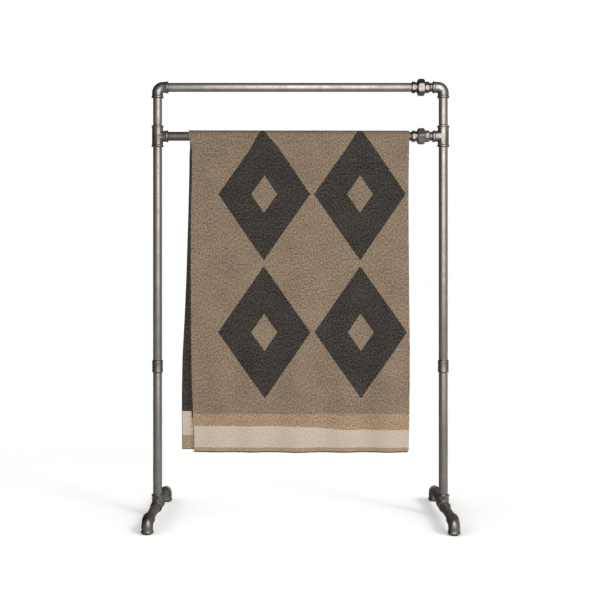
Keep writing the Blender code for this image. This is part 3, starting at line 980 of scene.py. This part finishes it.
# %% [markdown]
# ## Floor
# The floor is a plain pale sheet. It is lit just enough to print white, so that only the soft shadows at
# the feet show. It is left out of the reflections and throws no light back, so that floor and rack can be
# lit apart.

# %% Floor
def plain_floor(size, hex_colour):
    """A square from -size to size in x and y, at z = 0."""
    mesh = bpy.data.meshes.new("floor")
    corners = [(-size, -size, 0), (size, -size, 0), (size, size, 0), (-size, size, 0)]
    mesh.from_pydata(corners, [], [(0, 1, 2, 3)])
    material, tree, output = new_material("matt white floor paint")
    shader = add(tree, "BsdfPrincipled", {"Base Color": linear(hex_colour), "Roughness": 0.95,
                                          "Specular IOR Level": 0.0})
    tree.links.new(shader.outputs["BSDF"], output.inputs["Surface"])
    mesh.materials.append(material)
    stage = bpy.data.objects.new("floor", mesh)
    bpy.context.scene.collection.objects.link(stage)
    stage.visible_glossy = False
    stage.visible_diffuse = False
    stage.visible_shadow = False
    return stage


floor = plain_floor(60.0, "#f6f6f5")
print("floor:", floor.name)

# %% [markdown]
# ## Lamps
# Metal shows what stands round it. So one large softbox with a brighter middle stands close, a little to
# the right, and no other lamp shows in the metal: each pipe has one broad soft highlight between darker
# edges, which fades towards the feet. Cloth shows how its folds lie to the light, so a side softbox grazes
# it from the right. The cloth doesn't shade that one, which keeps the back panel's strip as pale as the
# front. The fills soften the left, the hem and the back. The floor has its own suns, which give the soft
# shadows at the feet. A real studio needs flags and patience for this. Here light linking says which pieces
# a lamp lights and which ones shade it.

# %% Lamps
def group(name, pieces):
    """A named set of pieces, for a lamp that lights only them or is shaded only by them."""
    collection = bpy.data.collections.new(name)
    for piece in pieces:
        collection.objects.link(piece)
    return collection


def lamp(name, kind, place, aim, energy, lights, shaded_by=None, **settings):
    """A lamp that looks from its place at the aim, left out of the picture and the reflections. It lights one
    group, and a second one, or everything if none is given, casts its shadows."""
    data = bpy.data.lights.new(name, kind)
    data.energy = energy
    for key, value in settings.items():
        setattr(data, key, value)
    light = bpy.data.objects.new(name, data)
    light.location = place
    way = light.location.copy()
    way.x, way.y, way.z = np.array(aim) - np.array(place)
    light.rotation_euler = way.to_track_quat("-Z", "Y").to_euler()
    light.visible_camera = False
    light.visible_glossy = False
    light.light_linking.receiver_collection = lights
    if shaded_by is not None:
        light.light_linking.blocker_collection = shaded_by
    bpy.context.scene.collection.objects.link(light)
    return light


dressed = [piece for piece in bpy.context.scene.objects if "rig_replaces" in piece]
RACK = group("rack", [piece for piece in dressed if piece is not blanket])
PIECES = group("rack and cloth", dressed)
FLOOR = group("only the floor", [floor])

for name, size, middle, radiance, lights in (
        ("large softbox", (1.9, 2.6), (0.45, -1.45, 1.40), 1.00, PIECES),
        ("bright middle of the softbox", (1.3, 1.50), (0.54, -1.44, 1.50), 1.18, RACK)):
    watts = radiance * np.pi * size[0] * size[1]
    softbox = lamp(name, "AREA", middle, (middle[0], 0.0, middle[2]), watts, lights, shape="RECTANGLE",
                   size=size[0], size_y=size[1])
    softbox.visible_glossy = True

for name, place, aim, watts, size, shaded_by in (
        ("side softbox", (2.3, -0.95, 0.75), (0.1, 0.0, 0.60), 24.0, (0.7, 1.2), RACK),
        ("left fill", (-1.35, -1.65, 0.30), (-0.3, 0.0, 0.40), 18.0, (1.0, 0.7), None),
        ("low fill", (0.5, -2.2, 0.25), (0.0, 0.0, 0.45), 11.0, (1.4, 0.6), None),
        ("back fill", (0.4, 2.2, 1.0), (0.0, 0.0, 0.70), 33.0, (1.6, 1.4), None)):
    lamp(name, "AREA", place, aim, watts, PIECES, shaded_by, shape="RECTANGLE", size=size[0], size_y=size[1])

lamp("dome over the cloth", "SUN", (0.0, 0.0, 4.0), (0.0, 0.0, 0.0), 0.1, PIECES, angle=np.radians(180))
for name, place, strength, angle in (("dome over the floor", (0.0, 0.0, 4.0), 1.42, 180),
                                     ("left light on the floor", (-1.8, -1.6, 1.0), 1.88, 70),
                                     ("right light on the floor", (1.8, -1.8, 1.0), 1.88, 70),
                                     ("side light on the floor", (2.0, -2.0, 2.2), 1.00, 14)):
    light = lamp(name, "SUN", place, (0.0, 0.0, 0.0), strength, FLOOR, RACK, angle=np.radians(angle))
    light.data.cycles.use_multiple_importance_sampling = False
print("lamps:", sum(piece.type == "LIGHT" for piece in bpy.context.scene.objects))

# %% [markdown]
# ## Room
# What stands behind the camera shows in the metal too. The world answers each ray by its kind: the camera
# sees white paper, a reflection sees a plain grey room that is paler to the front, the right and below, and
# matt surfaces get no light from it.

# %% Room
ROOM_DARK, ROOM_PALE = 0.01, 0.47
PALE_SIDE = (0.66, -0.50, -0.56)

world = bpy.data.worlds.new("studio")
world.use_nodes = True
world.node_tree.nodes.clear()
tree = world.node_tree
way = add(tree, "TexCoord").outputs["Generated"]
toward = add(tree, "VectorMath", {0: way, 1: PALE_SIDE}, operation="DOT_PRODUCT")
grey = add(tree, "MapRange", {"Value": toward.outputs["Value"], "From Min": -1.0, "From Max": 1.0,
                              "To Min": ROOM_DARK, "To Max": ROOM_PALE})
room = add(tree, "Background", {"Color": (1.0, 1.0, 1.0, 1.0), "Strength": grey.outputs["Result"]})
paper = add(tree, "Background", {"Color": (1.0, 1.0, 1.0, 1.0), "Strength": 1.0})
unlit = add(tree, "Background", {"Color": (1.0, 1.0, 1.0, 1.0), "Strength": 0.0})
ray = add(tree, "LightPath")
lit = add(tree, "MixShader", {
    0: ray.outputs["Is Glossy Ray"], 1: unlit.outputs["Background"], 2: room.outputs["Background"]})
seen = add(tree, "MixShader", {
    0: ray.outputs["Is Camera Ray"], 1: lit.outputs["Shader"], 2: paper.outputs["Background"]})
add(tree, "OutputWorld", {"Surface": seen.outputs["Shader"]})
bpy.context.scene.world = world
print("room:", ROOM_DARK, "on its dark side,", ROOM_PALE, "on its pale one")
